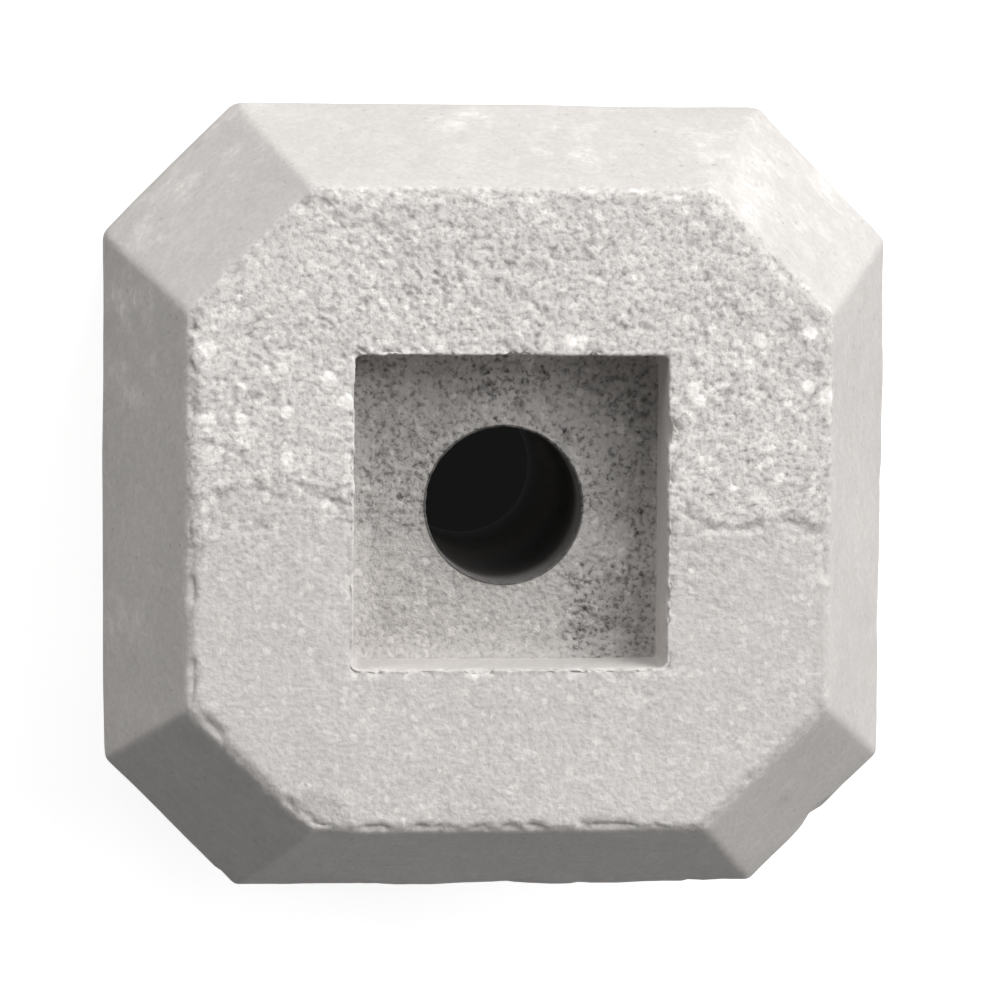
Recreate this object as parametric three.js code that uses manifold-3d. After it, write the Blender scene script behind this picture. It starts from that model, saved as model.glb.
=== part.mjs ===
// Cast concrete base block for a timber column. The body is an eight-sided prism with four long sides
// and four short corner sides. Its crown slopes in to a smaller octagonal top face. A shallow square
// recess in that face locates the foot of the column, and a round hole runs down through the middle.
//
// Units are millimetres, +Z is up, and the origin is the centre of the underside. One long side faces
// along each of +X, +Y, -X and -Y.

import * as THREE from "three";
import { mergeVertices } from "three/addons/utils/BufferGeometryUtils.js";
import Module from "manifold-3d";

const wasm = await Module();
wasm.setup();

// Body
const blockHeight = 200;
const baseWidth = 246; // between opposite long sides
const baseCornerLeg = 41; // how much of the square's side each cut corner takes
const cornerRounding = 5; // radius of the body's upright edges, in plan
const footEdge = 3; // bevel around the underside

// Crown
const crownHeight = 54;
const crownRun = 27; // how far a long side leans in over the crown's height
const topCornerLeg = 37;
const shoulderSoftening = 2.5; // reach of the soft edge between the upright sides and the crown
const rimSoftening = 2.5; // reach of the soft edge around the top face

// Recess for the foot of the column
const columnWidth = 90;
const columnClearance = 1.5; // on each side of the column
const recessDepth = 27;
const recessCorner = 1.5; // radius of the recess's upright inside corners
const recessFillet = 3; // radius between the recess's walls and floor
const recessRim = 1.5; // reach of the soft edge around the recess's mouth

// Hole through the middle, for drainage or a dowel bar
const holeDiameter = 47;
const holeEdge = 1.2; // reach of the soft edge at both ends of the hole

// Wear: two places where the edge of the top face has broken away
const wornCornerRadius = 34; // roundness of the worn corner of the top face
const wornCornerDepth = 2;
const rimChipRadius = 9; // roundness of the chip in the recess's rim
const rimChipDepth = 3;
const rimChipOffset = 24; // from the recess's centre, along the rim

// Fineness of the curved stretches
const arcSteps = 5;
const softEdgeSteps = 4;
const holeSegments = 72;
const chipSegments = 28;

// Cutting tools run past the faces that they cut by this much.
const cutOverrun = 10;

const longSide = baseWidth / 2;
const shoulderHeight = blockHeight - crownHeight;
const recessHalf = columnWidth / 2 + columnClearance;
const recessFloor = blockHeight - recessDepth;
const holeRadius = holeDiameter / 2;

const concrete = new THREE.MeshStandardMaterial({ color: 0xc9c5c1, roughness: 0.95, metalness: 0 });

// Distances from the axis to the long and the corner sides, at a share of the way up the crown.
// At 0 they are the body's own sides, at 1 the edge of the top face.
function octagonSides(share, inset = 0) {
  const long = longSide - crownRun * share;
  const leg = THREE.MathUtils.lerp(baseCornerLeg, topCornerLeg, share);
  const corner = (2 * long - leg) / Math.SQRT2;
  return Array.from({ length: 8 }, (_, side) => (side % 2 ? corner : long) - inset);
}

// Distances from the axis to the recess's four walls, drawn in by the inset.
function squareSides(inset) {
  return Array(4).fill(recessHalf - inset);
}

// Outline of a polygon whose sides face evenly turned directions, the first one facing +X. Each corner
// is an arc tangent to both of its sides, so its centre lies one radius inside each of them.
function roundedOutline(sides, radius) {
  const turn = (2 * Math.PI) / sides.length;
  const axis = new THREE.Vector2();
  return sides.flatMap((side, index) => {
    const next = sides[(index + 1) % sides.length];
    const facing = index * turn;
    const out = side - radius;
    const along = (next - radius - out * Math.cos(turn)) / Math.sin(turn);
    const centre = new THREE.Vector2(out, along).rotateAround(axis, facing);
    return Array.from({ length: arcSteps + 1 }, (_, step) => {
      const angle = facing + (turn * step) / arcSteps;
      return new THREE.Vector2(radius, 0).rotateAround(axis, angle).add(centre);
    });
  });
}

// Soft edge between two straight stretches of a profile that meet at the middle point.
function softEdge(from, corner, to) {
  const points = [from, corner, to].map(([across, height]) => new THREE.Vector2(across, height));
  return new THREE.QuadraticBezierCurve(...points).getPoints(softEdgeSteps);
}

// Closed surface through a stack of level outlines, listed from the lowest to the highest. Every outline
// has the same number of points, and each end is closed by a fan around its centre.
function loft(outlines) {
  const count = outlines[0].points.length;
  const positions = outlines.flatMap(({ points, height }) => points.flatMap((p) => [p.x, p.y, height]));
  const lowCentre = outlines.length * count;
  const highCentre = lowCentre + 1;
  const topStart = lowCentre - count;
  positions.push(0, 0, outlines[0].height);
  positions.push(0, 0, outlines[outlines.length - 1].height);
  const triangles = [];
  for (let point = 0; point < count; point += 1) {
    const next = (point + 1) % count;
    for (let start = 0; start < topStart; start += count) {
      const above = start + count;
      triangles.push(start + point, start + next, above + next);
      triangles.push(start + point, above + next, above + point);
    }
    triangles.push(lowCentre, next, point);
    triangles.push(highCentre, topStart + point, topStart + next);
  }
  const geometry = new THREE.BufferGeometry();
  geometry.setAttribute("position", new THREE.Float32BufferAttribute(positions, 3));
  geometry.setIndex(triangles);
  return geometry;
}

// Solid enclosed by a geometry. Points in the same place become one, and triangles that this leaves
// without an area, such as those around a pole, are dropped.
function solidFrom(geometry) {
  const bare = geometry.clone();
  bare.deleteAttribute("normal");
  bare.deleteAttribute("uv");
  const merged = mergeVertices(bare);
  const corners = merged.index.array;
  const kept = [];
  for (let first = 0; first < corners.length; first += 3) {
    const [a, b, c] = corners.slice(first, first + 3);
    if (a !== b && b !== c && c !== a) {
      kept.push(a, b, c);
    }
  }
  const vertProperties = new Float32Array(merged.attributes.position.array);
  return new wasm.Manifold(new wasm.Mesh({ numProp: 3, vertProperties, triVerts: new Uint32Array(kept) }));
}

// The uncut block, from the bevel around its foot up to the soft edge of its top face.
function bodyGeometry() {
  const outline = (share, height, inset = 0) => ({
    points: roundedOutline(octagonSides(share, inset), cornerRounding),
    height,
  });
  const shoulder = softEdge(
    [0, shoulderHeight - shoulderSoftening],
    [0, shoulderHeight],
    [shoulderSoftening / crownHeight, shoulderHeight + shoulderSoftening],
  );
  const rim = softEdge(
    [1 - rimSoftening / crownHeight, blockHeight - rimSoftening],
    [1, blockHeight],
    [1 + rimSoftening / crownRun, blockHeight],
  );
  return loft([
    outline(0, 0, footEdge),
    outline(0, footEdge),
    ...[...shoulder, ...rim].map((point) => outline(point.x, point.y)),
  ]);
}

// The space of the recess: its floor is bounded by a fillet, and its mouth opens out in a soft edge.
function recessGeometry() {
  const floorFillet = Array.from({ length: softEdgeSteps + 1 }, (_, step) => {
    const angle = ((Math.PI / 2) * step) / softEdgeSteps;
    const inset = recessFillet * (1 - Math.sin(angle));
    return new THREE.Vector2(inset, recessFloor + recessFillet * (1 - Math.cos(angle)));
  });
  const mouth = softEdge([0, blockHeight - recessRim], [0, blockHeight], [-recessRim, blockHeight]);
  const overrun = new THREE.Vector2(-recessRim, blockHeight + cutOverrun);
  return loft([...floorFillet, ...mouth, overrun].map((point) => ({
    points: roundedOutline(squareSides(point.x), recessCorner),
    height: point.y,
  })));
}

// The space of the hole: a straight bore that opens out a little at the underside and at the recess's
// floor. Its profile is turned about the axis and then stood upright.
function holeGeometry() {
  const wide = holeRadius + holeEdge;
  const profile = [
    new THREE.Vector2(0, -cutOverrun),
    new THREE.Vector2(wide, -cutOverrun),
    ...softEdge([wide, 0], [holeRadius, 0], [holeRadius, holeEdge]),
    ...softEdge([holeRadius, recessFloor - holeEdge], [holeRadius, recessFloor], [wide, recessFloor]),
    new THREE.Vector2(wide, blockHeight + cutOverrun),
    new THREE.Vector2(0, blockHeight + cutOverrun),
  ];
  return new THREE.LatheGeometry(profile, holeSegments).rotateX(Math.PI / 2);
}

// A ball that bites to the given depth at a place on an edge, coming in from the given direction.
function chipGeometry(place, outward, radius, depth) {
  const centre = outward.clone().setLength(radius - depth).add(place);
  return new THREE.SphereGeometry(radius, chipSegments, chipSegments / 2).translate(...centre);
}

// The corner of the top face between the long side facing -Y and the corner side to its left.
function wornCornerGeometry() {
  const long = longSide - crownRun;
  const place = new THREE.Vector3(topCornerLeg - long, -long, blockHeight);
  const outward = new THREE.Vector3(place.x / 2, place.y, long);
  return chipGeometry(place, outward, wornCornerRadius, wornCornerDepth);
}

// The chip in the recess's rim on its +X side.
function rimChipGeometry() {
  const place = new THREE.Vector3(recessHalf, rimChipOffset, blockHeight);
  const outward = new THREE.Vector3(-1, 0, 1);
  return chipGeometry(place, outward, rimChipRadius, rimChipDepth);
}

// One mesh from a finished solid.
function meshFrom(name, solid, material) {
  const { vertProperties, triVerts } = solid.getMesh();
  const geometry = new THREE.BufferGeometry();
  geometry.setAttribute("position", new THREE.BufferAttribute(vertProperties, 3));
  geometry.setIndex(new THREE.BufferAttribute(triVerts, 1));
  geometry.computeVertexNormals();
  const mesh = new THREE.Mesh(geometry, material);
  mesh.name = name;
  return mesh;
}

const cuts = [recessGeometry(), holeGeometry(), wornCornerGeometry(), rimChipGeometry()];
const block = cuts.reduce((solid, cut) => solid.subtract(solidFrom(cut)), solidFrom(bodyGeometry()));

const part = new THREE.Group();
part.name = "column_base_block";
part.add(meshFrom("base_block", block, concrete));

export default part;
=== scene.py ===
import bpy
import numpy as np
from mathutils import Matrix, Vector


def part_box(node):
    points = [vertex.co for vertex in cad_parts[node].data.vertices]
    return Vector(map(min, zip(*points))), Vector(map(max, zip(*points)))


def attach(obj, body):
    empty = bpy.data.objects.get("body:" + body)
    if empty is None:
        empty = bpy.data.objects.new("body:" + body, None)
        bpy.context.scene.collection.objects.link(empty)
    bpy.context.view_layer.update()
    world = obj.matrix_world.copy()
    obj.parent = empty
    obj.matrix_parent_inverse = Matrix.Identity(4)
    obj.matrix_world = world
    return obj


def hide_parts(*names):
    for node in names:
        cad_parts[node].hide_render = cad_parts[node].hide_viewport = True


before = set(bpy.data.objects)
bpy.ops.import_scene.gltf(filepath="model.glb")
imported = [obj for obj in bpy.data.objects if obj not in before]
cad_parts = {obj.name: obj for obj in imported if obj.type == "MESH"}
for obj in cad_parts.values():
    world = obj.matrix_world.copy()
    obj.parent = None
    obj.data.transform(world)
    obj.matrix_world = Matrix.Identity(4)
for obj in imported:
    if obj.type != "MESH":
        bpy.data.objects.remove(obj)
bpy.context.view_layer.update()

block_low, block_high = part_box("base_block")
WIDTH = block_high[0] - block_low[0]
HEIGHT = block_high[2] - block_low[2]
print(f"The block is {WIDTH:.3f} m across and {HEIGHT:.3f} m high")

# %% [markdown]
# ## Sizes
#
# Blender works in metres here, and a block like this is drawn in millimetres, so we name one millimetre
# and write each size as a number of them.
# %% Name the sizes of the block
MM = 0.001
FOOT_LEG = 41 * MM
CORNER_ROUNDING = 5 * MM
FOOT_EDGE = 3 * MM
CROWN_HEIGHT = 54 * MM
CROWN_RUN = 27 * MM
TOP_LEG = 37 * MM
SHOULDER_EDGE = 2.5 * MM
RIM_EDGE = 2.5 * MM
RECESS_HALF = 46.5 * MM
RECESS_DEPTH = 27 * MM
RECESS_CORNER = 1.5 * MM
RECESS_FILLET = 3 * MM
RECESS_RIM = 1.5 * MM
HOLE_RADIUS = 23.5 * MM
HOLE_EDGE = 1.2 * MM

LONG_SIDE = WIDTH / 2
SHOULDER = HEIGHT - CROWN_HEIGHT
FLOOR = HEIGHT - RECESS_DEPTH

# %% [markdown]
# ## Outlines
#
# Seen from above, every level of the block is one of three outlines: a circle in the hole, a rounded
# square in the recess and a rounded octagon outside. If each outline is given the same number of
# points, starting on the +X side, then the same column of points can be followed from one outline to
# the next. That turns the whole block into a single grid of rows and columns. Each corner keeps its own
# columns at every level, so the block's edges run along the grid and come out clean.
# %% Outlines with the same number of points
CORNER_COLUMNS = 8
LONG_COLUMNS = 144
SHORT_COLUMNS = 48
COLUMNS = 8 * CORNER_COLUMNS + 4 * (LONG_COLUMNS + SHORT_COLUMNS)
RECESS_COLUMNS = COLUMNS // 4 - CORNER_COLUMNS


def circle(radius):
    """Even points on a circle: the cosine and sine of evenly spaced angles, times the radius."""
    angle = np.linspace(0, 2 * np.pi, COLUMNS, endpoint=False)
    return radius * np.stack([np.cos(angle), np.sin(angle)], axis=-1)


def polygon(sides, side_columns, radius):
    """Points on a polygon with rounded corners.

    Its sides face evenly turned directions, the first one +X, and sides holds their distances from the
    axis. A corner's arc touches both of its sides, so its centre is one radius inside each of them. The
    arcs are numbered by column, each side between them takes its own count of columns, and every other
    point is read off the straight line between two numbered ones.
    """
    turn = 2 * np.pi / len(sides)
    facing = turn * np.arange(len(sides))
    out = sides - radius
    along = (np.roll(sides, -1) - radius - out * np.cos(turn)) / np.sin(turn)
    cosine, sine = np.cos(facing), np.sin(facing)
    centre = np.stack([out * cosine - along * sine, out * sine + along * cosine], axis=-1)
    angle = facing[:, None] + turn * np.linspace(0, 1, CORNER_COLUMNS + 1)
    arcs = centre[:, None] + radius * np.stack([np.cos(angle), np.sin(angle)], axis=-1)
    first = np.cumsum(side_columns + CORNER_COLUMNS) - CORNER_COLUMNS - side_columns[0] // 2
    numbers = first[:, None] + np.arange(CORNER_COLUMNS + 1)
    start = [[sides[0], 0.0]]
    line = np.concatenate([start, arcs.reshape(-1, 2), start])
    numbered = np.concatenate([[0], numbers.ravel(), [COLUMNS]])
    return np.stack([np.interp(np.arange(COLUMNS), numbered, line[:, axis]) for axis in (0, 1)], axis=-1)


def octagon(share, inset=0.0):
    """The outside of the block at a share of the way up its crown, 0 at the shoulder and 1 at the rim."""
    long = LONG_SIDE - CROWN_RUN * share
    leg = FOOT_LEG + (TOP_LEG - FOOT_LEG) * share
    corner = (2 * long - leg) / np.sqrt(2)
    sides = np.tile([long - inset, corner - inset], 4)
    return polygon(sides, np.tile([LONG_COLUMNS, SHORT_COLUMNS], 4), CORNER_ROUNDING)


def square(inset):
    """The recess, drawn in by the inset."""
    return polygon(np.full(4, RECESS_HALF - inset), np.full(4, RECESS_COLUMNS), RECESS_CORNER)


def level(outline, height):
    """An outline laid at a height."""
    return np.column_stack([outline, np.full(COLUMNS, height)])


# %% [markdown]
# ## One profile, carried all the way round
#
# A row of the grid is one outline. We list the rows in the order that a finger would pass them: up the
# wall of the hole, out over the recess's floor, up its wall, across the top face, down the crown and the
# side, and back under the block to the hole. The last row meets the first, so the surface is closed
# without any caps. The top face needs a fine grid and the sides don't, so each stretch also says how
# many columns it skips.
# %% Lay the rows of the profile
def straight(start, end, rows):
    """Rows on the straight lines between two rings, the last ring left out: start plus share times the
    difference."""
    share = np.linspace(0, 1, rows, endpoint=False)[:, None, None]
    return start + (end - start) * share


def bend(start, corner, end, rows):
    """Rows on the curve that leaves start towards the corner and arrives at end from it, the last ring
    left out: the weighted sum of the three with weights (1-t) squared, 2t(1-t) and t squared."""
    share = np.linspace(0, 1, rows, endpoint=False)[:, None, None]
    return start * (1 - share) ** 2 + 2 * corner * share * (1 - share) + end * share**2


hole_low = level(circle(HOLE_RADIUS), HOLE_EDGE)
hole_high = level(circle(HOLE_RADIUS), FLOOR - HOLE_EDGE)
hole_lip = level(circle(HOLE_RADIUS), FLOOR)
floor_inner = level(circle(HOLE_RADIUS + HOLE_EDGE), FLOOR)
floor_outer = level(square(RECESS_FILLET), FLOOR)
floor_corner = level(square(0), FLOOR)
wall_low = level(square(0), FLOOR + RECESS_FILLET)
wall_high = level(square(0), HEIGHT - RECESS_RIM)
mouth = level(square(0), HEIGHT)
face_inner = level(square(-RECESS_RIM), HEIGHT)
face_outer = level(octagon(1 + RIM_EDGE / CROWN_RUN), HEIGHT)
rim = level(octagon(1), HEIGHT)
crown_high = level(octagon(1 - RIM_EDGE / CROWN_HEIGHT), HEIGHT - RIM_EDGE)
crown_low = level(octagon(SHOULDER_EDGE / CROWN_HEIGHT), SHOULDER + SHOULDER_EDGE)
shoulder = level(octagon(0), SHOULDER)
side_high = level(octagon(0), SHOULDER - SHOULDER_EDGE)
side_low = level(octagon(0), FOOT_EDGE)
foot = level(octagon(0, FOOT_EDGE), 0)
under_inner = level(circle(HOLE_RADIUS + HOLE_EDGE), 0)
hole_foot = level(circle(HOLE_RADIUS), 0)

# Each stretch: its name, its rows, and how many columns its grid steps over.
stretches = [
    ("hole", straight(hole_low, hole_high, 14), 4),
    ("lip", bend(hole_high, hole_lip, floor_inner, 6), 2),
    ("floor", straight(floor_inner, floor_outer, 28), 2),
    ("fillet", bend(floor_outer, floor_corner, wall_low, 4), 2),
    ("wall", straight(wall_low, wall_high, 12), 2),
    ("mouth", bend(wall_high, mouth, face_inner, 4), 1),
    ("face", straight(face_inner, face_outer, 60), 1),
    ("rim", bend(face_outer, rim, crown_high, 5), 1),
    ("crown", straight(crown_high, crown_low, 20), 2),
    ("shoulder", bend(crown_low, shoulder, side_high, 5), 2),
    ("side", straight(side_high, side_low, 14), 4),
    ("foot", straight(side_low, foot, 2), 4),
    ("under", straight(foot, under_inner, 10), 4),
    ("hole_foot", bend(under_inner, hole_foot, hole_low, 3), 4),
]
surface = np.concatenate([rows for _, rows, _ in stretches])
stretch_of_row = np.repeat([name for name, _, _ in stretches], [len(rows) for _, rows, _ in stretches])
stride_of_row = np.repeat([step for _, _, step in stretches], [len(rows) for _, rows, _ in stretches])
ROWS = len(surface)
print(f"The profile has {ROWS} rows of {COLUMNS} columns")

# %% [markdown]
# ## Which way is out
#
# Stones and pits are pushed along the surface's normal. On a grid the normal is quick to find: take the
# step to the next row and the step to the next column, and their cross product stands square to both.
# `np.roll` brings each point's neighbours alongside it, wrapping round at the ends, which suits a
# surface that closes on itself.
# %% Normals and lengths on the grid
def grid_normals(points):
    """Unit normals: the step between the neighbouring rows crossed with the step between the columns."""
    across = np.roll(points, -1, axis=0) - np.roll(points, 1, axis=0)
    around = np.roll(points, -1, axis=1) - np.roll(points, 1, axis=1)
    normal = np.cross(across, around)
    return normal / np.linalg.norm(normal, axis=-1, keepdims=True)


normals = grid_normals(surface)
row_gap = np.linalg.norm(np.roll(surface, -1, axis=0) - surface, axis=-1)
run = np.concatenate([np.zeros((1, COLUMNS)), np.cumsum(row_gap, axis=0)[:-1]])
print(f"Once round the profile is {run[-1, 0]:.3f} m, starting up the hole's wall")

# %% [markdown]
# ## Noise
#
# Weathered and cast surfaces are uneven at many sizes at once. Lattice noise gives one size: random
# values on a cubic lattice, blended smoothly between its points. Adding copies at half the spacing and
# half the strength gives the broken, natural look.
# %% Smooth noise in space
TABLE = 64


def lattice_noise(points, spacing, seed):
    """Smooth noise from -1 to 1. Random values stand on a cubic lattice, and a point takes the mean of
    its cell's eight corners, weighted by a fade of 6t^5 - 15t^4 + 10t^3 along each axis."""
    values = np.random.default_rng(seed).uniform(-1, 1, (TABLE, TABLE, TABLE))
    scaled = points / spacing
    cell = np.floor(scaled).astype(int)
    part = scaled - cell
    fade = part**3 * (part * (part * 6 - 15) + 10)
    total = np.zeros(points.shape[:-1])
    for corner in np.ndindex(2, 2, 2):
        weight = np.prod(np.where(corner, fade, 1 - fade), axis=-1)
        x, y, z = np.moveaxis((cell + corner) % TABLE, -1, 0)
        total += weight * values[x, y, z]
    return total


def layered_noise(points, spacing, layers, seed):
    """Noise at several sizes: each layer has half the spacing and half the strength of the last."""
    strengths = 0.5 ** np.arange(layers)
    parts = [
        strength * lattice_noise(points, spacing * strength, seed + layer)
        for layer, strength in enumerate(strengths)
    ]
    return sum(parts) / strengths.sum()


def ease(value, start, end):
    """0 before start, 1 after end, and 3t^2 - 2t^3 between them."""
    share = np.clip((value - start) / (end - start), 0, 1)
    return share * share * (3 - 2 * share)


# %% [markdown]
# ## Stones
#
# Concrete is gravel and sand held in cement. Where the top was left open the stones stand proud, so we
# scatter balls through space and keep the part of each one that breaks the surface. A lattice with one
# ball in each cell keeps them apart, and only the nearest cells need to be looked at.
# %% A bed of stones in space
def stones(points, spacing, smallest, largest, seed):
    """Height and tone of the stones that break the surface.

    Space is cut in cubes of the spacing. Each holds one ball, with a random centre and a radius between
    smallest and largest. A point inside a ball rises by the square root of radius squared less distance
    squared, and where balls overlap the proudest one counts. The tone is a random number per ball.
    """
    chance = np.random.default_rng(seed).random((TABLE, TABLE, TABLE, 5))
    cell = np.floor(points / spacing).astype(int)
    height = np.zeros(points.shape[:-1])
    tone = np.zeros(points.shape[:-1])
    for offset in np.ndindex(3, 3, 3):
        near = cell + np.array(offset) - 1
        x, y, z = np.moveaxis(near % TABLE, -1, 0)
        own = chance[x, y, z]
        centre = (near + own[..., :3]) * spacing
        radius = smallest + (largest - smallest) * own[..., 3]
        rise = np.sqrt(np.clip(radius**2 - np.sum((points - centre) ** 2, axis=-1), 0, None))
        prouder = rise > height
        height = np.where(prouder, rise, height)
        tone = np.where(prouder, own[..., 4], tone)
    return height, tone


# Stones are angular, so the points are first pushed about a little by noise of their own.
WARP = 0.8 * MM
WARP_SIZE = 2.4 * MM
warp = np.stack([lattice_noise(surface, WARP_SIZE, seed) for seed in (11, 12, 13)], axis=-1)
warped = surface + WARP * warp
gravel, gravel_tone = stones(warped, spacing=9 * MM, smallest=1.6 * MM, largest=3.8 * MM, seed=21)
grit, grit_tone = stones(warped, spacing=4.2 * MM, smallest=0.9 * MM, largest=2.1 * MM, seed=22)
sand, sand_tone = stones(surface, spacing=2.4 * MM, smallest=0.6 * MM, largest=1.2 * MM, seed=23)
print(f"Gravel breaks {np.mean(gravel > 0):.0%} of the grid, grit {np.mean(grit > 0):.0%}")

# %% [markdown]
# A few pale stones are bigger than the rest, and they catch the eye on the left and the right of the
# recess. Those are placed one by one, in millimetres from the middle of the block.
# %% The large pale stones of the face
LARGE_STONES = MM * np.array([
    # x, y, radius
    [-90.4, 48.5, 2.9],
    [-68.2, 43.1, 2.0],
    [-54.7, 39.8, 2.6],
    [-80.2, 36.8, 2.2],
    [-49.5, 32.9, 2.8],
    [-90.7, 26.9, 2.9],
    [-80.2, 27.2, 2.5],
    [-67.3, 29.9, 2.0],
    [-67.0, 16.1, 2.5],
    [-61.9, 11.3, 1.4],
    [-55.6, 2.0, 1.2],
    [54.1, 36.8, 2.4],
    [55.8, 33.4, 2.7],
    [74.2, 51.2, 2.5],
    [70.9, 44.3, 1.8],
    [89.2, 53.9, 2.4],
    [88.6, 37.7, 2.3],
    [94.6, 35.0, 2.8],
    [80.5, 10.4, 1.8],
    [73.6, 4.4, 1.8],
    [65.8, 7.1, 1.6],
    [16.8, 51.2, 2.2],
    [20.4, 51.4, 2.2],
])
STONE_SINK = 0.25


def placed_stones(points, stone_list):
    """How far the stones of a list rise above their middles: the square root of radius squared less
    distance squared. Each middle lies a share of its radius under the face."""
    radius = stone_list[:, 2]
    middle = np.column_stack([stone_list[:, :2], HEIGHT - STONE_SINK * radius])
    distance = np.linalg.norm(points[..., None, :] - middle, axis=-1)
    return np.sqrt(np.clip(radius**2 - distance**2, 0, None)).max(axis=-1)


large = placed_stones(surface + 0.5 * WARP * warp, LARGE_STONES)
gravel_tone = np.where(large > gravel, 1.0, gravel_tone)
gravel = np.maximum(gravel, large)
print(f"{len(LARGE_STONES)} large stones rise up to {large.max() / MM:.1f} mm above their middles")

# %% [markdown]
# ## How rough each stretch is
#
# The top face was open while the mix was tamped, the recess was stamped into it, and everything else set
# against a smooth mould. So each stretch of the profile gets one number for how open its surface is.
# Blurring those numbers along the profile lets one finish run into the next. In places the open surface
# also spills over the rim, so noise opens up the first two rows of the slope, the second one less.
# %% Openness of the surface, row by row
SPILL_SIZE = 5 * MM
OPENNESS = {"mouth": 0.75, "face": 1.0, "rim": 0.95, "floor": 0.8, "fillet": 0.7, "wall": 0.2, "lip": 0.8}
MOULDED = 0.05
BLUR = np.array([0.25, 0.5, 0.25])
SPILL = np.array([[0.6], [0.18]])
open_rows = np.array([OPENNESS.get(name, MOULDED) for name in stretch_of_row])
open_rows = np.convolve(np.pad(open_rows, 1, mode="wrap"), BLUR, mode="valid")
openness = np.repeat(open_rows[:, None], COLUMNS, axis=1)
spill_rows = np.flatnonzero(stretch_of_row == "crown")[:2]
spill = ease(layered_noise(surface[spill_rows], SPILL_SIZE, 3, 33), -0.1, 0.4)
openness[spill_rows] = openness[spill_rows] + SPILL * spill

is_face = np.isin(stretch_of_row, ["face", "mouth", "rim"])[:, None]
is_floor = np.isin(stretch_of_row, ["floor", "fillet", "lip"])[:, None]
x, y, z = np.moveaxis(surface, -1, 0)
print(f"{np.mean(openness > 0.5):.0%} of the rows and columns are open")

# %% [markdown]
# ## The two halves of the face
#
# The upper half of the face is coarse and gappy, the lower half was pressed denser. A low, ragged step
# divides them, and it sinks a little from left to right. On the right much of the change comes at the
# step itself, and on the left it takes some 30 mm.
# %% Where the face is coarse
STEP_LEFT = 9 * MM
STEP_RIGHT = -5 * MM
STEP_WANDER = 3.5 * MM
STEP_RAGGED = 3.4 * MM
STEP_WIDTH = 1.8 * MM
WANDER_SIZE = 24 * MM
RAGGED_SIZE = 4 * MM
PATCH_SIZE = 30 * MM
PATCH_SHIFT = 14 * MM
SUDDEN_LEFT = 0.15
SUDDEN_RIGHT = 0.5
step_wander = STEP_WANDER * layered_noise(surface, WANDER_SIZE, 2, 31)
step_wander = step_wander + STEP_RAGGED * layered_noise(surface, RAGGED_SIZE, 2, 35)
step_line = STEP_LEFT + (STEP_RIGHT - STEP_LEFT) * (x / WIDTH + 0.5) + step_wander
above_step = ease(y - step_line, -STEP_WIDTH, STEP_WIDTH)
patchy = layered_noise(surface, PATCH_SIZE, 3, 32)
sudden = SUDDEN_LEFT + (SUDDEN_RIGHT - SUDDEN_LEFT) * ease(x, -40 * MM, 40 * MM)
coarser = sudden * ease(y - step_line, -3 * MM, 3 * MM)
coarser = coarser + (1 - sudden) * ease(y - step_line + PATCH_SHIFT * patchy, -34 * MM, -4 * MM)
coarse_face = np.clip(0.2 + 0.8 * coarser + 0.25 * patchy, 0.1, 1.1)
coarse_face = coarse_face * (1 - 0.18 * ease(-x, 20 * MM, 60 * MM))
print(f"{np.mean(above_step[stretch_of_row == 'face']):.0%} of the face lies above the step")

# %% [markdown]
# The recess's floor is uneven in its own way: pitted at the back and on the right, and rubbed smooth in
# front of the hole, in a strip behind it and in one patch to its right.
# %% Where the recess's floor is coarse
FRONT_END = 24 * MM
STRIP_PLACE = 29 * MM
PATCH_RIGHT = 29 * MM
PATCH_FRONT = -11 * MM
PATCH_STRETCH = 1.6
smooth_front = ease(-y + 8 * MM * patchy, -2 * MM, 10 * MM) * ease(FRONT_END - x, 0, 8 * MM)
smooth_back = ease(np.abs(y - STRIP_PLACE) - 2 * MM * patchy, 6 * MM, 2 * MM)
smooth_back = smooth_back * ease(np.abs(x), 34 * MM, 20 * MM)
from_patch = np.hypot(x - PATCH_RIGHT, PATCH_STRETCH * (y - PATCH_FRONT))
smooth_right = ease(from_patch - 4 * MM * patchy, 14 * MM, 8 * MM)
smooth_floor = np.maximum(smooth_front, np.maximum(0.6 * smooth_back, 0.9 * smooth_right))
coarse_floor = np.clip(1.1 + 0.35 * patchy - 0.7 * smooth_floor, 0.3, 1.3)
coarse = np.where(is_face, coarse_face, np.where(is_floor, coarse_floor, 0.3))
print(f"{np.mean(smooth_floor[stretch_of_row == 'floor'] > 0.5):.0%} of the recess's floor is smooth")

# %% [markdown]
# ## The relief
#
# Now the heights are added up. Nothing may stand outside the measured solid, so the bed of cement lies a
# little under it and the stones stay below it too. The recess's floor is the roughest part. Spreading its
# roughness over seven rows keeps a step from forming where the floor ends.
# %% Add up the relief of the stones, the gaps and the step
BED_DEPTH = 0.7 * MM
STONE_RISE = 0.17
GRIT_RISE = 0.22
SAND_RISE = 0.28
FLAT_STONE = 1.8 * MM
FLAT_GRIT = 1.0 * MM
UNEVEN = 0.22 * MM
GAP_DEPTH = 0.43 * MM
STEP_HEIGHT = 0.3 * MM
GROOVE_DEPTH = 0.7 * MM
GROOVE_PLACE = -2 * MM
GROOVE_WIDTH = 1.8 * MM
FLOOR_ROUGHNESS = 2.6
BLEND_ROWS = 7

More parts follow.
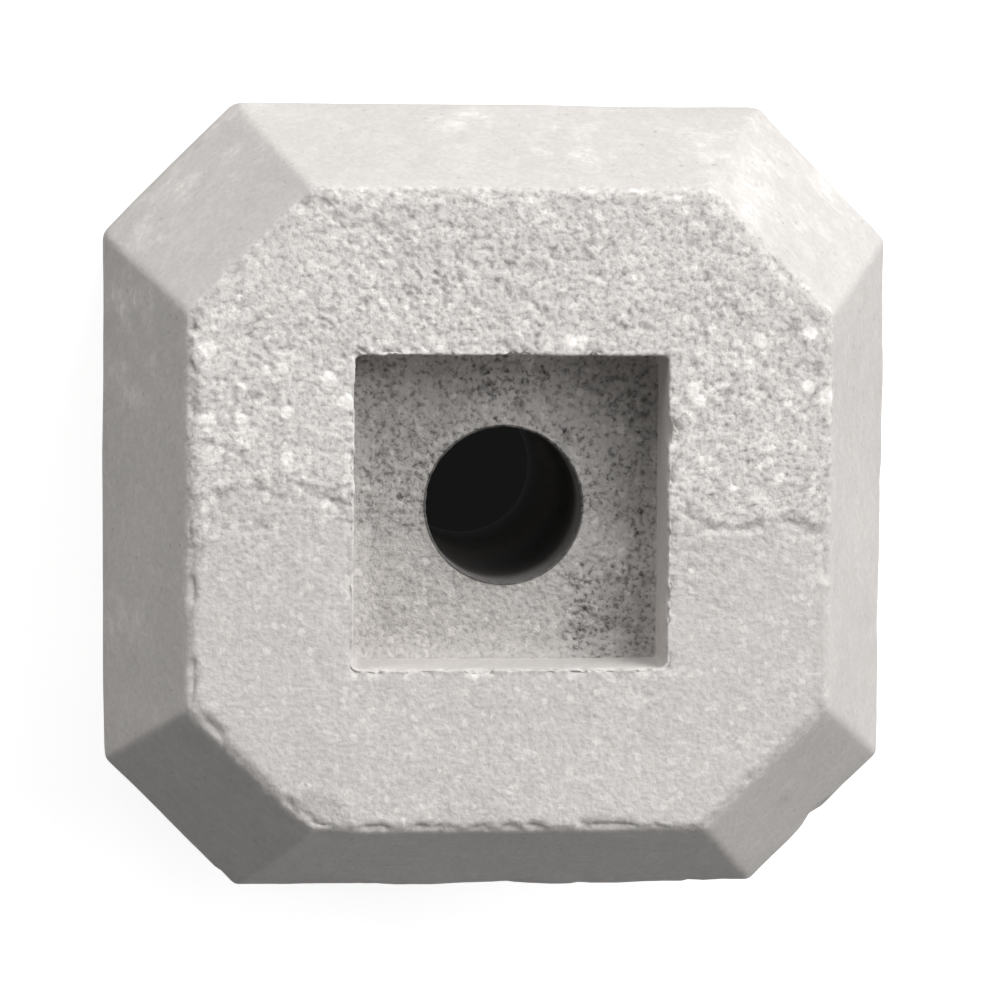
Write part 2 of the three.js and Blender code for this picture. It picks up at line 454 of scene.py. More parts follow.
flat_gravel = STONE_RISE * np.minimum(gravel, FLAT_STONE)
flat_grit = GRIT_RISE * np.minimum(grit, FLAT_GRIT)
bed = np.maximum(np.maximum(flat_gravel, flat_grit), SAND_RISE * sand)
gaps = ease(layered_noise(surface, 2.3 * MM, 2, 41), 0.22, 0.5)
gaps = gaps * ease(layered_noise(surface, 18 * MM, 2, 44), -0.35, 0.3)
uneven = layered_noise(surface, 14 * MM, 4, 42)
step_groove = np.exp(-(((y - step_line - GROOVE_PLACE) / GROOVE_WIDTH) ** 2))
step_groove = step_groove * ease(layered_noise(surface, 6 * MM, 3, 43), -0.1, 0.35)

relief = coarse * (bed - GAP_DEPTH * gaps) + UNEVEN * uneven
relief = relief + is_face * (STEP_HEIGHT * (above_step - 1) - GROOVE_DEPTH * step_groove)
roughness = np.where(stretch_of_row == "floor", FLOOR_ROUGHNESS, 1)
roughness = np.pad(roughness, BLEND_ROWS // 2, mode="edge")
roughness = np.convolve(roughness, np.full(BLEND_ROWS, 1 / BLEND_ROWS), mode="valid")
relief = openness * roughness[:, None] * (relief - BED_DEPTH)
for name in ("face", "floor"):
    some = relief[stretch_of_row == name] / MM
    print(f"The relief of the {name} runs from {some.min():.1f} to {some.max():.1f} mm")

# %% [markdown]
# ## Broken edges
#
# The edge around the top face crumbled when the mould was lifted, and the recess's mouth did a little.
# The distance to each edge, measured along the profile, tells how much of this wear a point gets.
# %% Crumble the edges and bite out the two worn places
RIM_WEAR = 1.3 * MM
MOUTH_WEAR = 1.5 * MM
WEAR_REACH = 2.2 * MM
WORN_CORNER = Vector((TOP_LEG + CROWN_RUN - LONG_SIDE, CROWN_RUN - LONG_SIDE, HEIGHT))
WORN_CORNER_REACH = 12 * MM
WORN_CORNER_DEPTH = 1.5 * MM
MOUTH_CHIP = Vector((RECESS_HALF, 24 * MM, HEIGHT))
MOUTH_CHIP_REACH = 5 * MM
MOUTH_CHIP_DEPTH = 2.2 * MM
SHOULDER_CHIP = Vector((102.5 * MM, -102.5 * MM, SHOULDER))
SHOULDER_CHIP_REACH = 5 * MM
SHOULDER_CHIP_DEPTH = 1.4 * MM


def near_stretch(name, reach):
    """A bell around the middle row of a stretch: e to the minus (distance along the profile / reach)
    squared."""
    middle = np.flatnonzero(stretch_of_row == name).mean().astype(int)
    return np.exp(-(((run - run[middle]) / reach) ** 2))


def bite(centre, reach, depth):
    """A shallow bowl: depth times (1 - (distance / reach) squared), and nothing beyond the reach."""
    distance = np.linalg.norm(surface - np.array(centre), axis=-1)
    return depth * np.clip(1 - (distance / reach) ** 2, 0, None)


crumbs = ease(layered_noise(surface, 8 * MM, 4, 51), -0.15, 0.45)
wear = RIM_WEAR * near_stretch("rim", WEAR_REACH) * crumbs
fine_crumbs = ease(layered_noise(surface, 4 * MM, 3, 52), -0.05, 0.5)
wear = wear + MOUTH_WEAR * near_stretch("mouth", WEAR_REACH) * fine_crumbs
wear = wear + bite(WORN_CORNER, WORN_CORNER_REACH, WORN_CORNER_DEPTH)
wear = wear + bite(MOUTH_CHIP, MOUTH_CHIP_REACH, MOUTH_CHIP_DEPTH)
wear = wear + bite(SHOULDER_CHIP, SHOULDER_CHIP_REACH, SHOULDER_CHIP_DEPTH)
relief = relief - wear

# %% [markdown]
# ## The moulded faces
#
# A mould is never dead flat, and its boards leave faint waves, just enough to stop the long slopes and
# sides from looking machined. The shoulder waves more than the rest, and has small notches.
# %% Waves in the moulded faces
WAVE = 0.45 * MM
WAVE_LENGTH = 45 * MM
EDGE_WAVE = 0.9 * MM
EDGE_WAVE_LENGTH = 26 * MM
EDGE_WAVE_REACH = 9 * MM
NOTCH_DEPTH = 0.9 * MM
NOTCH_LENGTH = 7 * MM
NOTCH_REACH = 4 * MM
moulded = 1 - ease(openness, 0.1, 0.5)
waves = layered_noise(surface, WAVE_LENGTH, 3, 61) - 1
edge_waves = layered_noise(surface, EDGE_WAVE_LENGTH, 3, 62) - 0.6
edge_waves = edge_waves * near_stretch("shoulder", EDGE_WAVE_REACH)
notches = ease(layered_noise(surface, NOTCH_LENGTH, 2, 63), 0.1, 0.7)
notches = notches * near_stretch("shoulder", NOTCH_REACH)
relief = relief + moulded * (WAVE * waves + EDGE_WAVE * edge_waves - NOTCH_DEPTH * notches)
relief = np.minimum(relief, 0) * (stretch_of_row != "under")[:, None]
shaped = surface + normals * relief[..., None]
print(f"Deepest place {-relief.min() / MM:.1f} mm under the measured solid")

# %% [markdown]
# ## From grid to mesh
#
# Two rows that step over the same number of columns are joined by four-sided faces. Where the step
# doubles, three triangles take up each wide edge, so no crack opens. Faces are written as pairs of row
# and column first. Wrapping those round gives the vertex numbers, and leaving them unwrapped gives a
# map of the surface, in metres, whose first direction runs round the block.
# %% Join the rows
def join_rows(row):
    """Faces between a row and the next one, as arrays of (row, column) pairs, with the quads first."""
    here = stride_of_row[row]
    there = stride_of_row[(row + 1) % ROWS]
    wide = max(here, there)
    column = np.arange(0, COLUMNS, wide)
    if here == there:
        corners = [(row, 0), (row + 1, 0), (row + 1, wide), (row, wide)]
        return [np.stack([np.stack([np.full_like(column, r), column + c], -1) for r, c in corners], 1)], []
    half = wide // 2
    if here < there:
        fans = [
            [(row, 0), (row + 1, 0), (row, half)],
            [(row, half), (row + 1, 0), (row + 1, wide)],
            [(row, half), (row + 1, wide), (row, wide)],
        ]
    else:
        fans = [
            [(row, 0), (row + 1, 0), (row + 1, half)],
            [(row, 0), (row + 1, half), (row, wide)],
            [(row, wide), (row + 1, half), (row + 1, wide)],
        ]
    return [], [
        np.stack([np.stack([np.full_like(column, r), column + c], -1) for r, c in fan], 1) for fan in fans
    ]


joined = [join_rows(row) for row in range(ROWS)]
quads = np.concatenate([faces for some, _ in joined for faces in some])
triangles = np.concatenate([faces for _, some in joined for faces in some])

used = np.arange(COLUMNS)[None, :] % stride_of_row[:, None] == 0
number = np.full((ROWS, COLUMNS), -1)
number[used] = np.arange(used.sum())


def vertex_numbers(faces):
    """The grid closes both ways, so a row or column past the end is the first one again."""
    return number[faces[..., 0] % ROWS, faces[..., 1] % COLUMNS]


print(f"{len(quads)} quads and {len(triangles)} triangles")
print(f"{2 * len(quads) + len(triangles)} triangles in all")

# %% [markdown]
# ## The mesh and what it remembers
#
# The material needs to know where the stones, the gaps and the open places are. Those are saved on the
# vertices as attributes, next to the map that the wisps on the moulded faces follow.
# %% Build the block
block_mesh = bpy.data.meshes.new("concrete_block")
block_faces = vertex_numbers(quads).tolist() + vertex_numbers(triangles).tolist()
block_mesh.from_pydata(shaped[used].tolist(), [], block_faces)
block_mesh.polygons.foreach_set("use_smooth", np.ones(len(block_faces), dtype=bool))

perimeter = np.linalg.norm(np.diff(octagon(0), axis=0), axis=1).sum()
corners = np.concatenate([quads.reshape(-1, 2), triangles.reshape(-1, 2)])
run_closed = np.concatenate([run, run[-1:] + row_gap[-1:]])
around = corners[:, 1] / COLUMNS * perimeter
down = run_closed[corners[:, 0], corners[:, 1] % COLUMNS]
block_map = block_mesh.uv_layers.new(name="around_the_block")
block_map.data.foreach_set("uv", np.stack([around, down], axis=-1).ravel())


def remember(name, values):
    """Saves one number per vertex under a name that the material can read."""
    attribute = block_mesh.attributes.new(name, "FLOAT", "POINT")
    attribute.data.foreach_set("value", values[used].astype(np.float32))


print(f"The map is {perimeter:.3f} m round and {run_closed[-1, 0]:.3f} m along the profile")

# %% [markdown]
# ## How light each place is
#
# One number per vertex, the tone, says how light the concrete is there, and 1 is the plain paste. The
# stones are paler and the gaps darker, partly as painted shade in their hollows. The recess's floor is
# darkened as painted shade, its smooth places less, the hole's lip is darkened as painted shade, and
# painted shade makes the hole's wall nearly black from 25 mm down. Around its middle, where little light
# comes, that painted shade is lighter, so that the whole depth looks evenly dark.
# %% Tone of the stones, the recess and the hole
PATCHINESS = 0.05
OPEN_SHADE = 0.07
STONE_SHADE = 0.14
LARGE_STONE_SHADE = 0.22
GAP_PAINTED_SHADE = 0.26
FLOOR_GAP_PAINTED_SHADE = 0.4
FLOOR_PAINTED_SHADE = 0.31
SMOOTH_SHADE = 0.07
LIP_PAINTED_SHADE = 0.5
HOLE_PAINTED_SHADE = 0.9
HOLE_FADE = 45 * MM
HOLE_MIDDLE = 95 * MM
HOLE_MIDDLE_REACH = 35 * MM
HOLE_ROWS = ["hole", "lip", "hole_foot"]

pale_gravel = ease(gravel, 0.3 * MM, 1.5 * MM) * ease(gravel_tone, 0.35, 0.75)
pale_grit = ease(grit, 0.2 * MM, 1.1 * MM) * ease(grit_tone, 0.4, 0.9)
pale_sand = ease(sand, 0.2 * MM, 0.8 * MM) * ease(sand_tone, 0.5, 1.0)
pale_stones = np.maximum(np.maximum(pale_gravel, 0.8 * pale_grit), 0.6 * pale_sand)
pale_large = ease(large, 0.6 * MM, 0.9 * MM)
patchiness = layered_noise(surface, 35 * MM, 4, 71)

# Painted shade down the hole's wall: it darkens with depth and is lighter around the middle.
down_the_hole = np.clip(0.42 + (FLOOR - z) / HOLE_FADE, 0, 1)
down_the_hole = down_the_hole * np.isin(stretch_of_row, HOLE_ROWS)[:, None]
hole_middle = np.exp(-(((FLOOR - z - HOLE_MIDDLE) / HOLE_MIDDLE_REACH) ** 2))
down_the_hole = down_the_hole * (1 - 0.6 * hole_middle)
tone = 1 + PATCHINESS * patchiness + is_face * (0.09 * above_step - 0.04)
# Partly painted shade: the gaps, which are sunk into the mesh, are darkened in colour too.
gap_painted_shade = np.where(is_floor, FLOOR_GAP_PAINTED_SHADE, GAP_PAINTED_SHADE) * gaps * coarse
stone_shade = STONE_SHADE * pale_stones * (0.35 + 0.65 * coarse) + LARGE_STONE_SHADE * pale_large
tone = tone * (1 + openness * (OPEN_SHADE + stone_shade - gap_painted_shade))
# Painted shade on the recess's floor, less on its smooth places.
tone = tone * (1 - is_floor * (FLOOR_PAINTED_SHADE - SMOOTH_SHADE * smooth_floor))
# Painted shade down the hole.
tone = tone * (1 - HOLE_PAINTED_SHADE * down_the_hole)
# Painted shade on the hole's rounded lip.
tone = tone * np.where(stretch_of_row == "lip", 1 - LIP_PAINTED_SHADE, 1)[:, None]
print(f"The tone of the face is {tone[stretch_of_row == 'face'].mean():.2f} on average")

# %% [markdown]
# Lime has bled out of the moulded faces here and there and dried as white wisps. Most of it lies where
# the top slope meets the one to its right. The lower right slope has a darker half, split off by a faint
# seam, and one dark spot. Each mark is placed one by one, seen from above, in millimetres from the middle
# of the block.
# %% Lime, a seam and a spot on the slopes
LIME = MM * np.array([
    # x, y, reach
    [64, 104, 11],
    [72, 96, 12],
    [97, 96, 12],
    [84, 110, 10],
    [-98, 99, 9],
    [-86, 110, 9],
    [-108, 86, 9],
    [-116, 60, 9],
    [-116, 40, 9],
    [-116, -35, 7],
    [20, 112, 10],
    [-10, 116, 9],
])
LIME_SHADE = 0.12
SPOT = MM * np.array([[88.5, -92, 1.3]])
SPOT_SHADE = 0.16
SEAM = -2 * MM
SEAM_SHADE = 0.07
SLOPE_SHADE = 0.04
SLOPE_MOTTLE = 0.035


def blots(blot_list):
    """Soft round marks seen from above: the strongest of the bells e^(-(distance / reach)^2)."""
    gap = np.linalg.norm(surface[..., None, :2] - blot_list[:, :2], axis=-1)
    return np.exp(-((gap / blot_list[:, 2]) ** 2)).max(axis=-1)


on_slope = moulded * (z > SHOULDER - SHOULDER_EDGE)
lime = on_slope * blots(LIME) * ease(layered_noise(surface, 8 * MM, 4, 72), -0.2, 0.25)
mottle = layered_noise(surface, 7 * MM, 3, 73)
along_seam = (x + y) / np.sqrt(2) - SEAM + 2 * MM * patchiness
lower_right = on_slope * ease(x - y, 210 * MM, 220 * MM)
darker_half = lower_right * ease(along_seam, -1 * MM, 1 * MM)
seam = lower_right * np.exp(-((along_seam / (1.2 * MM)) ** 2))
tone = tone * (1 + on_slope * (SLOPE_MOTTLE * mottle - SLOPE_SHADE) + LIME_SHADE * lime)
tone = tone * (1 - SEAM_SHADE * (darker_half + seam) - SPOT_SHADE * on_slope * blots(SPOT))
print(f"{np.mean(lime > 0.3):.1%} of the rows and columns are white with lime")

# %% [markdown]
# Three soft differences are left, all painted. The lower left slope, which faces away from the light,
# and the crumbled rim get painted shade, and the recess's floor gets painted light along its back and to
# the right of the hole, where the walls' shadows fall.
# %% Painted shade and painted light
LOWER_LEFT_PAINTED_SHADE = 0.12
RIM_PAINTED_SHADE = 0.1
FLOOR_PAINTED_LIGHT = 0.32
FLOOR_PAINTED_LIGHT_PLACES = MM * np.array([
    # x, y, reach
    [2, 36, 22],
    [-30, 38, 13],
    [36, -15, 12],
])
facing_lower_left = -(normals[..., 0] + normals[..., 1]) / np.sqrt(2)
# Painted shade on the slope that faces away from the light, to the lower left.
tone = tone * (1 - LOWER_LEFT_PAINTED_SHADE * on_slope * ease(facing_lower_left, 0.7, 0.85))
# Painted light on the recess's floor, where the walls' shadows fall.
tone = tone * (1 + FLOOR_PAINTED_LIGHT * is_floor * blots(FLOOR_PAINTED_LIGHT_PLACES))
# Painted shade on the crumbled rim.
tone = tone * (1 - RIM_PAINTED_SHADE * near_stretch("rim", WEAR_REACH))
print(f"The tone runs from {tone.min():.2f} to {tone.max():.2f}")

# %% [markdown]
# The last numbers to save say how strongly the fine grain shows: its pits, its pale grains and its depth.
# The grain is deepest on the recess's floor and shallowest on the moulded faces.
# %% Save the numbers on the vertices and hand the block over
GRAIN_DEPTH = 0.34 * MM
MOULDED_GRAIN = 0.3
FLOOR_GRAIN = 3.3
FLOOR_PITS = 1.6
FACE_PITS = 0.8
pit_strength = np.where(is_floor, FLOOR_PITS, FACE_PITS) * (1 - pale_large)
grain_strength = MOULDED_GRAIN * moulded + openness * np.where(is_floor, FLOOR_GRAIN, 1)
remember("open", openness)
remember("pitted", np.clip(coarse * openness, 0, 1.2) * pit_strength)
remember("grainy", np.where(is_floor, 1.1, 0.7 + 0.4 * coarse))
remember("lime", 0.4 * moulded + lime)
remember("grain_depth", GRAIN_DEPTH * grain_strength)
remember("tone", tone)
print("The block remembers:", ", ".join(attribute.name for attribute in block_mesh.attributes))

base_block = bpy.data.objects.new("base_block_cast", block_mesh)
bpy.context.collection.objects.link(base_block)
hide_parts("base_block")
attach(base_block, "root")

# %% [markdown]
# ## Concrete
#
# The colour is a light warm grey. Cement paste varies in soft patches, sand shows as fine speckle, some
# stones are nearly white, and the moulded faces carry pale wisps. Everything is mixed from noise, so
# there is no picture to stretch. A material is a net of small nodes, so we first write a few helpers that
# make one node each.
# %% The material and its helpers
PASTE = (0.60, 0.575, 0.555, 1)
concrete = bpy.data.materials.new("dry_cast_concrete")
concrete.use_nodes = True
nodes = concrete.node_tree.nodes
links = concrete.node_tree.links
shader = nodes["Principled BSDF"]
shader.inputs["Roughness"].default_value = 0.93
shader.inputs["Specular IOR Level"].default_value = 0.25
place = nodes.new("ShaderNodeTexCoord").outputs["Object"]


def plug(value, socket):
    """Links an output to a socket, or sets the socket to a number."""
    if isinstance(value, bpy.types.NodeSocket):
        links.new(value, socket)
    else:
        socket.default_value = value


def remembered(name):
    """Reads an attribute that was saved on the vertices."""
    reader = nodes.new("ShaderNodeAttribute")
    reader.attribute_name = name
    return reader.outputs["Fac"]


def noise(size, detail=3.0, where=place, swirl=0.0):
    """Noise whose features are about the given size in metres, as a value around 0.5."""
    texture = nodes.new("ShaderNodeTexNoise")
    plug(where, texture.inputs["Vector"])
    plug(1 / size, texture.inputs["Scale"])
    plug(detail, texture.inputs["Detail"])
    plug(swirl, texture.inputs["Distortion"])
    return texture.outputs["Fac"]


def calculate(operation, *values):
    """One step of arithmetic."""
    step = nodes.new("ShaderNodeMath")
    step.operation = operation
    for value, socket in zip(values, step.inputs):
        plug(value, socket)
    return step.outputs[0]


def spread(value, start, end, low_value=0.0, high_value=1.0):
    """Carries the range from start to end over to the range from low_value to high_value."""
    mapper = nodes.new("ShaderNodeMapRange")
    for given, name in (
        (value, "Value"),
        (start, "From Min"),
        (end, "From Max"),
        (low_value, "To Min"),
        (high_value, "To Max"),
    ):
        plug(given, mapper.inputs[name])
    return mapper.outputs["Result"]


def cells(size, where):
    """Irregular cells of about the given size: how far a place is from its cell's middle, in cells, and
    a random number from 0 to 1 for each cell."""
    texture = nodes.new("ShaderNodeTexVoronoi")
    plug(where, texture.inputs["Vector"])
    plug(1 / size, texture.inputs["Scale"])
    splitter = nodes.new("ShaderNodeSeparateColor")
    links.new(texture.outputs["Color"], splitter.inputs[0])
    return texture.outputs["Distance"], splitter.outputs["Red"]


def jostled(size, amount):
    """Places pushed about by noise, so that cells laid on them come out ragged."""
    texture = nodes.new("ShaderNodeTexNoise")
    plug(place, texture.inputs["Vector"])
    plug(1 / size, texture.inputs["Scale"])
    plug(1.0, texture.inputs["Detail"])
    centred = nodes.new("ShaderNodeVectorMath")
    centred.operation = "SUBTRACT"
    links.new(texture.outputs["Color"], centred.inputs[0])
    centred.inputs[1].default_value = (0.5, 0.5, 0.5)
    pushed = nodes.new("ShaderNodeVectorMath")
    pushed.operation = "MULTIPLY_ADD"
    links.new(centred.outputs[0], pushed.inputs[0])
    pushed.inputs[1].default_value = (amount, amount, amount)
    links.new(place, pushed.inputs[2])
    return pushed.outputs[0]


# %% [markdown]
# Grains are irregular cells with ragged borders. A cell's body may be pale, by its own random number, and
# its border is a dark pit, partly painted shade. A finer noise gives the sand's speckle and the bump's
# height, and its deepest places are pinholes, darkened as painted shade.
# %% Colour of the paste, the grit and the pits between the grains
GRAIN_SIZE = 2.6 * MM
JOSTLE_SIZE = 1.3 * MM
JOSTLE_REACH = 2.2 * MM
SAND_SIZE = 1.5 * MM
ragged = jostled(JOSTLE_SIZE, JOSTLE_REACH)
from_middle, grain_number = cells(GRAIN_SIZE, ragged)
grain_body = spread(from_middle, 0.56, 0.42)
grain_pale = spread(grain_number, 0.5, 1.0, -0.01, 0.24)
# Partly painted shade: the border of each grain is darkened as a pit.
grain_pit = spread(from_middle, 0.72, 0.95, 0.0, 0.3)
grain_height = noise(SAND_SIZE)
speckle = spread(grain_height, 0.3, 0.7, -0.08, 0.08)
# Painted shade: the pinholes darken the lowest places of the noise that also drives the bump.
pinholes = spread(grain_height, 0.48, 0.34, 0.0, 0.32)

open_shade = calculate("MULTIPLY_ADD", grain_body, grain_pale, speckle)
open_shade = calculate("MULTIPLY_ADD", open_shade, remembered("grainy"), 1.0)
pits = calculate("MULTIPLY", calculate("ADD", grain_pit, pinholes), remembered("pitted"))
open_shade = calculate("SUBTRACT", open_shade, pits)
print(f"The open concrete takes {len(nodes)} nodes")

# %% [markdown]
# The wisps on the moulded faces are noise on the block's own map, drawn out a little in the direction
# that runs round the block and swirled. Here and there an air bubble left a small dark pore.
# %% Wisps and pores on the moulded faces
WISP_LENGTH = 6 * MM
WISP_BREADTH = 4.2 * MM
WISP_SWIRL = 1.2
WISP_SHADE = 0.18
wisp_map = nodes.new("ShaderNodeUVMap")
wisp_map.uv_map = "around_the_block"
wisp_place = nodes.new("ShaderNodeVectorMath")
wisp_place.operation = "MULTIPLY"
links.new(wisp_map.outputs["UV"], wisp_place.inputs[0])
wisp_place.inputs[1].default_value = (1 / WISP_LENGTH, 1 / WISP_BREADTH, 0)
wisps = noise(1.0, where=wisp_place.outputs[0], swirl=WISP_SWIRL)
wisps = spread(wisps, 0.47, 0.68, 0.0, WISP_SHADE)
pores = calculate("MULTIPLY", spread(grain_number, 0.86, 0.9), spread(from_middle, 0.3, 0.12, 0.0, 0.2))
moulded_shade = calculate("MULTIPLY_ADD", wisps, remembered("lime"), 1.0)
moulded_shade = calculate("SUBTRACT", moulded_shade, pores)
moulded_shade = calculate("MULTIPLY_ADD", speckle, 0.6, moulded_shade)

# %% Choose between the two finishes and tint the result
shade = spread(remembered("open"), 0.1, 0.5, moulded_shade, open_shade)
shade = calculate("MULTIPLY", shade, remembered("tone"))
grey = nodes.new("ShaderNodeCombineColor")
for channel, strength in zip(("Red", "Green", "Blue"), PASTE):
    links.new(calculate("MULTIPLY", shade, strength), grey.inputs[channel])
links.new(grey.outputs[0], shader.inputs["Base Color"])

# %% Grain that is too fine for the mesh
bump = nodes.new("ShaderNodeBump")
plug(grain_height, bump.inputs["Height"])
plug(1.0, bump.inputs["Strength"])
plug(remembered("grain_depth"), bump.inputs["Distance"])
links.new(bump.outputs["Normal"], shader.inputs["Normal"])
block_mesh.materials.append(concrete)
print(f"The concrete takes {len(nodes)} nodes in all")

# %% [markdown]
# ## Floor, light and camera
#
# The block stands on a pale studio sweep, a floor that curves up into a wall all round. Only the camera
# sees it. The light that a real floor throws back up comes from a plain ring just under it, which only
# the light sees. The sweep lies a hair under the block, so that the two surfaces don't meet in one plane.
# %% The shape of the sweep
SWEEP_RADIUS = 7.0
SWEEP_BEND = 2.0
SWEEP_HEIGHT = 5.0
SWEEP_DEPTH = 0.2 * MM
SWEEP_SIDES = 96
UNLIT_RADIUS = 0.06


def surface_of_revolution(name, profile, sides, closed=True):
    """A profile of (radius, height) points turned about the axis, x = radius times cosine of the angle
    and y = radius times sine. If it is closed, one face fills its first ring."""
    profile = np.asarray(profile, dtype=float)
    angle = np.linspace(0, 2 * np.pi, sides, endpoint=False)
    rings = np.stack([
        profile[:, :1] * np.cos(angle),
        profile[:, :1] * np.sin(angle),
        np.repeat(profile[:, 1:], sides, axis=1),
    ], axis=-1)
    ring, side = np.meshgrid(np.arange(len(profile) - 1), np.arange(sides), indexing="ij")
    next_side = (side + 1) % sides
    quads = np.stack([
        ring * sides + side, (ring + 1) * sides + side,
        (ring + 1) * sides + next_side, ring * sides + next_side,
    ], axis=-1)
    mesh = bpy.data.meshes.new(name)
    faces = quads.reshape(-1, 4).tolist()
    if closed:
        faces.append(list(range(sides)))
    mesh.from_pydata(rings.reshape(-1, 3).tolist(), [], faces)
    mesh.polygons.foreach_set("use_smooth", np.ones(len(mesh.polygons), dtype=bool))
    made = bpy.data.objects.new(name, mesh)
    bpy.context.collection.objects.link(made)
    return made


bend_angle = np.linspace(0, np.pi / 2, 13)
sweep_bend = np.stack([
    SWEEP_RADIUS + SWEEP_BEND * np.sin(bend_angle),
    SWEEP_BEND * (1 - np.cos(bend_angle)),
], axis=-1)
sweep_top = [[SWEEP_RADIUS + SWEEP_BEND, SWEEP_HEIGHT]]
sweep_profile = np.concatenate([[[UNLIT_RADIUS, 0]], sweep_bend, sweep_top]) - [0, SWEEP_DEPTH]
white_sweep = surface_of_revolution("white_sweep", sweep_profile, SWEEP_SIDES)
white_sweep.visible_diffuse = False
white_sweep.visible_glossy = False
white_sweep.visible_shadow = False
print(f"The sweep has {len(white_sweep.data.polygons)} faces")

# %% [markdown]
# The sweep glows a little so that it stays white. Its middle, which shows only through the hole, is
# painted dark as painted shade under the block, with only a faint glow. From below it is clear, like a
# glass floor, so that the block's underside can be looked at.
# %% The sweep's white, with a dark middle
SWEEP_SHADE = 0.6
SWEEP_GLOW = 0.78
HOLE_GLOW = 0.0075
GLOW_RADIUS = 0.12
white = bpy.data.materials.new("white_sweep")
white.use_nodes = True
white_nodes = white.node_tree.nodes
white_links = white.node_tree.links
white_shader = white_nodes["Principled BSDF"]
white_shader.inputs["Roughness"].default_value = 1.0
white_shader.inputs["Specular IOR Level"].default_value = 0.0
white_shader.inputs["Emission Color"].default_value = (1, 1, 1, 1)
from_axis = white_nodes.new("ShaderNodeVectorMath")
from_axis.operation = "LENGTH"
white_links.new(white_nodes.new("ShaderNodeTexCoord").outputs["Object"], from_axis.inputs[0])
# Painted shade under the block: towards the middle the base colour falls to black and the glow to a faint
# one.
for socket_name, lowest, highest in (
    ("Base Color", 0, SWEEP_SHADE),
    ("Emission Strength", HOLE_GLOW, SWEEP_GLOW),
):
    outward = white_nodes.new("ShaderNodeMapRange")
    outward.inputs["From Min"].default_value = UNLIT_RADIUS
    outward.inputs["From Max"].default_value = GLOW_RADIUS
    outward.inputs["To Min"].default_value = lowest
    outward.inputs["To Max"].default_value = highest
    white_links.new(from_axis.outputs["Value"], outward.inputs["Value"])
    white_links.new(outward.outputs["Result"], white_shader.inputs[socket_name])
backfacing = white_nodes.new("ShaderNodeNewGeometry").outputs["Backfacing"]
clear = white_nodes.new("ShaderNodeBsdfTransparent")
one_way = white_nodes.new("ShaderNodeMixShader")
white_links.new(backfacing, one_way.inputs[0])
white_links.new(white_shader.outputs[0], one_way.inputs[1])
white_links.new(clear.outputs[0], one_way.inputs[2])
white_links.new(one_way.outputs[0], white_nodes["Material Output"].inputs["Surface"])
white_sweep.data.materials.append(white)

# %% A ring that throws light back up
RING_INNER_RADIUS = 150 * MM
RING_RADIUS = 3.0
RING_DEPTH = 1 * MM
RING_SHADE = 0.52
ring_profile = [[RING_INNER_RADIUS, -RING_DEPTH], [RING_RADIUS, -RING_DEPTH]]
bounce_ring = surface_of_revolution("bounce_ring", ring_profile, SWEEP_SIDES, closed=False)
bounce_ring.visible_camera = False
grey_card = bpy.data.materials.new("grey_card")
grey_card.use_nodes = True
card_shader = grey_card.node_tree.nodes["Principled BSDF"]
card_shader.inputs["Base Color"].default_value = (RING_SHADE, RING_SHADE, RING_SHADE, 1)
card_shader.inputs["Roughness"].default_value = 1.0
bounce_ring.data.materials.append(grey_card)
print(f"The ring reaches {RING_RADIUS} m out and lies {RING_DEPTH / MM:.0f} mm under the floor")

# %% [markdown]
# The slopes on the right and at the top of the picture are the brightest and the lower left ones are the
# darkest, and the shadows in the recess have wide soft edges. A row of soft boxes does that: the main
# one stands at the upper right, its neighbours carry the light round to both sides, and an even sky
# fills in the rest.
# %% The soft boxes
SOFT_BOX_WIDTH = np.radians(28)
SOFT_BOXES = {
    "main": (58.6, 30, 0.42),
    "main_high": (58.6, 45, 0.22),
    "main_top": (58.6, 65, 0.12),
    "right": (13.6, 45, 0.201),
    "right_low": (13.6, 15, 0.22),
    "top_low": (103.6, 15, 0.209),
    "left_top": (135, 30, 0.155),
}
SKY = 0.165


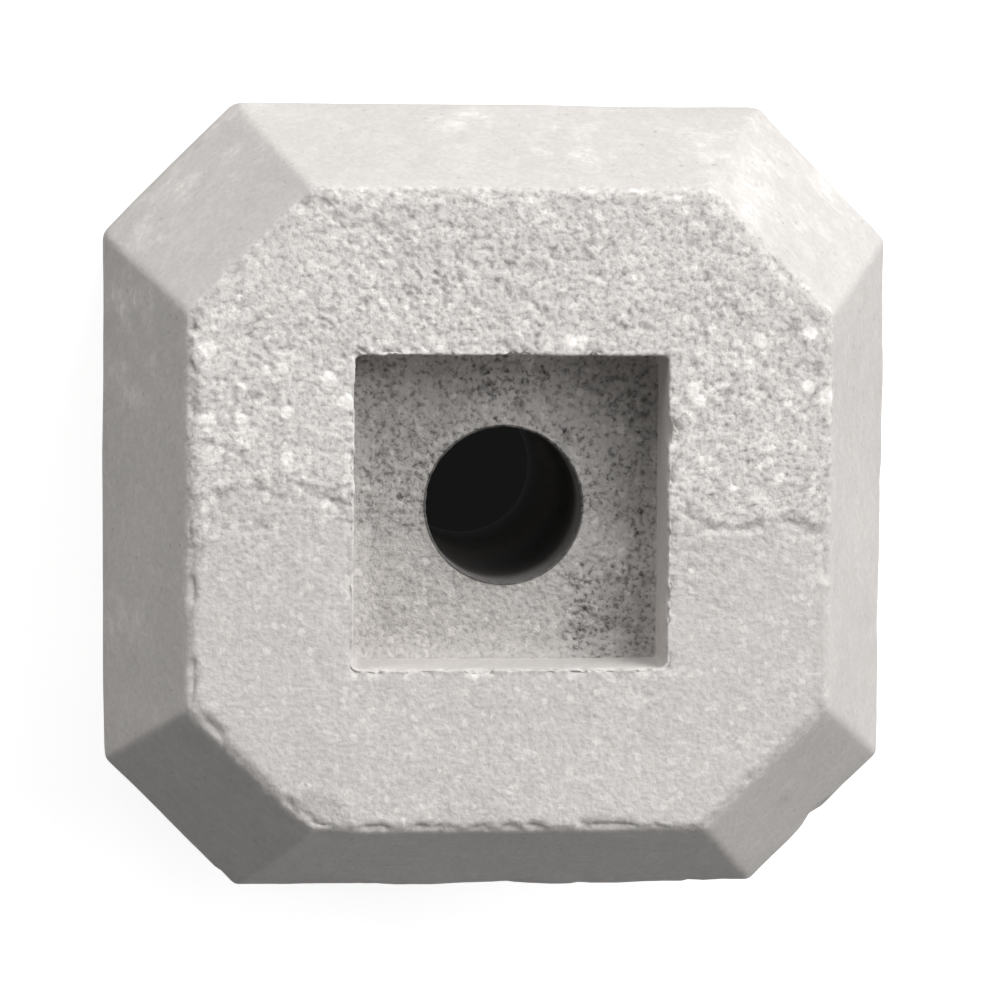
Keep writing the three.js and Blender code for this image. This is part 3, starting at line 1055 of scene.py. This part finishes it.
def soft_box(name, azimuth, elevation, strength):
    """A light far away in a direction given in degrees. Strength 1 makes a white card facing it shine
    with brightness 1."""
    lamp = bpy.data.lights.new(name, "SUN")
    lamp.angle = SOFT_BOX_WIDTH
    lamp.energy = strength * np.pi
    box = bpy.data.objects.new(name, lamp)
    turned, raised = np.radians(azimuth), np.radians(elevation)
    level_part = np.cos(raised)
    toward = Vector((level_part * np.cos(turned), level_part * np.sin(turned), np.sin(raised)))
    box.rotation_euler = toward.to_track_quat("Z", "Y").to_euler()
    box.location = toward
    bpy.context.collection.objects.link(box)


for box_name, (azimuth, elevation, strength) in SOFT_BOXES.items():
    soft_box("soft_box_" + box_name, azimuth, elevation, strength)

world = bpy.data.worlds.new("studio")
world.use_nodes = True
world.node_tree.nodes["Background"].inputs["Color"].default_value = (1, 1, 1, 1)
world.node_tree.nodes["Background"].inputs["Strength"].default_value = SKY
bpy.context.scene.world = world
bpy.context.scene.view_settings.view_transform = "Standard"
print(f"{len(SOFT_BOXES)} soft boxes and an even sky of {SKY}")

# %% [markdown]
# The camera stands 1.1 m above the top face, a little to the upper left of the middle, and looks almost
# straight down. Seen like that, the shoulder hides the upright sides.
# %% The camera
CAMERA_PLACE = Vector((-0.1018, 0.0964, 1.3))
CAMERA_AIM = Vector((-0.0036, 0.0039, HEIGHT))
CAMERA_ROLL = np.radians(0.39)
SENSOR = 36
LENS_PER_SENSOR = 3.7187
camera = bpy.data.cameras.new("camera")
camera.sensor_width = SENSOR
camera.lens = SENSOR * LENS_PER_SENSOR
camera_object = bpy.data.objects.new("camera", camera)
back = (CAMERA_PLACE - CAMERA_AIM).normalized()
right = Vector((0, 1, 0)).cross(back).normalized()
up = back.cross(right)
upright = Matrix((right, up, back)).transposed().to_4x4()
camera_object.matrix_world = (
    Matrix.Translation(CAMERA_PLACE) @ upright @ Matrix.Rotation(CAMERA_ROLL, 4, "Z")
)
bpy.context.collection.objects.link(camera_object)
bpy.context.scene.camera = camera_object
print(f"The camera is {(CAMERA_PLACE - CAMERA_AIM).length:.2f} m from the face, lens {camera.lens:.0f} mm")
